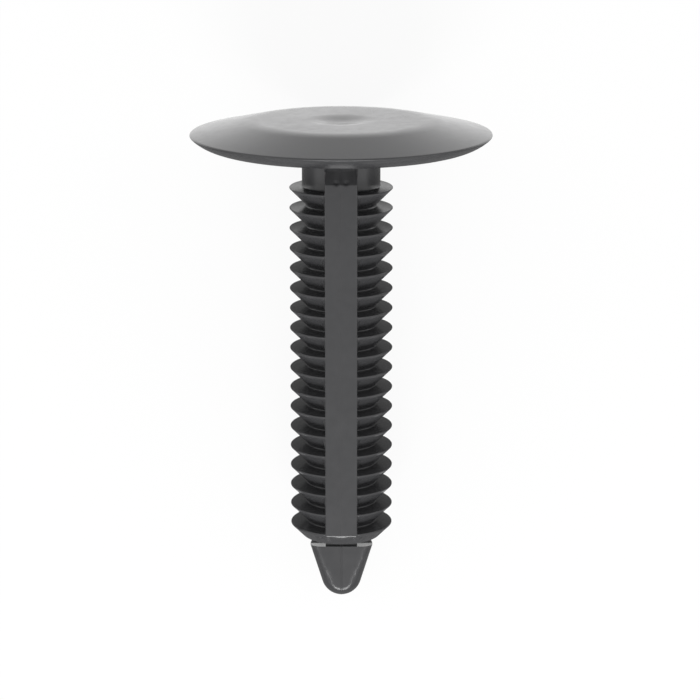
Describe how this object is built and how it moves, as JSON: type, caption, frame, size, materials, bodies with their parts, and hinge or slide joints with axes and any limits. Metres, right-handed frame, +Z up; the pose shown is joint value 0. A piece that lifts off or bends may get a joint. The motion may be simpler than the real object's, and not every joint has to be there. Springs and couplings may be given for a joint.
{
  "type": "push-in shield retainer",
  "caption": "Push-in shield retainer with a broad low head, a barbed shank with a flat web, and a flattened bullet tip that presses into a panel hole.",
  "frame": {"origin": "on the floor, under the centre of the bounding box of the lying part", "axes": "+Z up, +Y along the lying part towards its head, +X across the web"},
  "size_m": [0.0254, 0.0422, 0.0246],
  "materials": {
    "nylon": "satin black moulded nylon"
  },
  "bodies": {
    "root": {"retainer": "nylon"}
  },
  "joints": []
}
